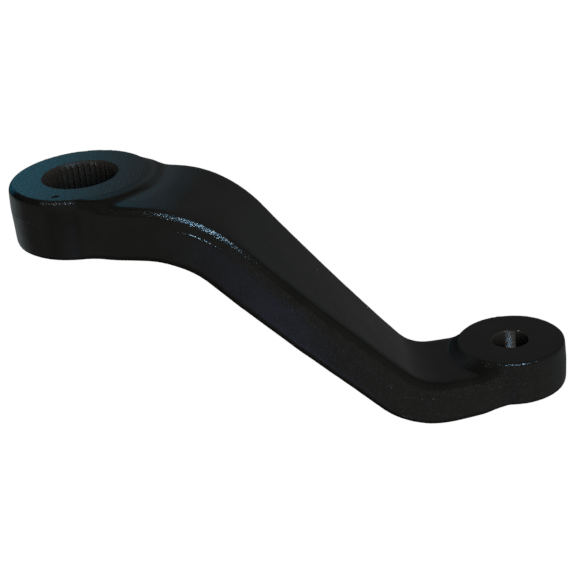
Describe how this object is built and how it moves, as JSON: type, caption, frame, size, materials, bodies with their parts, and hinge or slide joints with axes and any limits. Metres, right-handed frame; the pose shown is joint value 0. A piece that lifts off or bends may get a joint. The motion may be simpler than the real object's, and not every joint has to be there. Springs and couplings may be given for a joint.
{
  "type": "pitman arm",
  "caption": "Dropped steering arm forged in one piece: splined eye for the sector shaft, bent and bowed arm, and a smaller eye with a tapered ball-stud hole.",
  "frame": {"origin": "axis of the splined bore, in the big eye's upper machined face", "axes": "+Z along the splined bore's axis and out of the big eye's upper face, +X level towards the small eye, +Y away from the side that the arm bows to"},
  "size_m": [0.2271, 0.0707, 0.1074],
  "materials": {
    "black_paint": "semi-gloss black paint over a forged steel surface"
  },
  "bodies": {
    "root": {"pitman_arm": "black_paint"}
  },
  "joints": []
}
